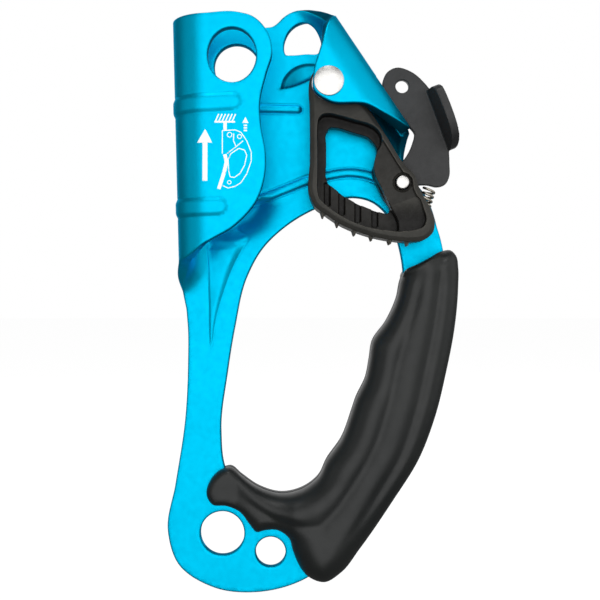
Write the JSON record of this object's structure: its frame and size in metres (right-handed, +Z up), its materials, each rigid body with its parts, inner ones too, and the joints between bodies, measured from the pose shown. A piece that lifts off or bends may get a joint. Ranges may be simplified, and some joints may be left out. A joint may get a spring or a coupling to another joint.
{
  "type": "rope ascender",
  "caption": "Handled rope clamp: a toothed cam in a folded sheet frame grips a climbing rope one way, with a safety catch and a hand grip.",
  "frame": {"origin": "on the axis of the rope channel, level with the cam's rivet", "axes": "+Z up along the rope, towards the anchor; +X from the rope channel towards the cam and the handle; +Y from the user's side to the far side of the back plate"},
  "size_m": [0.1017, 0.035, 0.2045],
  "materials": {
    "frame_blue": "anodised satin",
    "grip_rubber": "satin moulded",
    "cam_black": "matte black coating on cast steel",
    "catch_black": "matte moulded",
    "polished_steel": "polished",
    "spring_steel": "bright wire"
  },
  "bodies": {
    "frame": {"frame": "frame_blue", "grip_front": "grip_rubber", "grip_rear": "grip_rubber", "cam_rivet": "polished_steel", "rivet_washer": "polished_steel", "cam_sleeve": "polished_steel", "cam_washer_front": "polished_steel", "cam_washer_rear": "polished_steel"},
    "cam": {"cam": "cam_black", "cam_spring": "spring_steel", "catch_pin": "polished_steel", "catch_spring": "spring_steel"},
    "catch": {"catch": "catch_black"}
  },
  "joints": [
    {"name": "cam_hinge", "type": "hinge", "parent": "frame", "child": "cam", "pos_m": [0.0417, 0, 0], "axis": [0, 1, 0], "range_deg": [0, 70], "deforming": ["cam_spring"]},
    {"name": "catch_hinge", "type": "hinge", "parent": "cam", "child": "catch", "pos_m": [0.0668, 0, -0.0331], "axis": [0, 1, 0], "range_deg": [0, 30], "stiffness_Nm_per_rad": 0.03, "springref_deg": -20.05, "deforming": ["catch_spring"]}
  ]
}
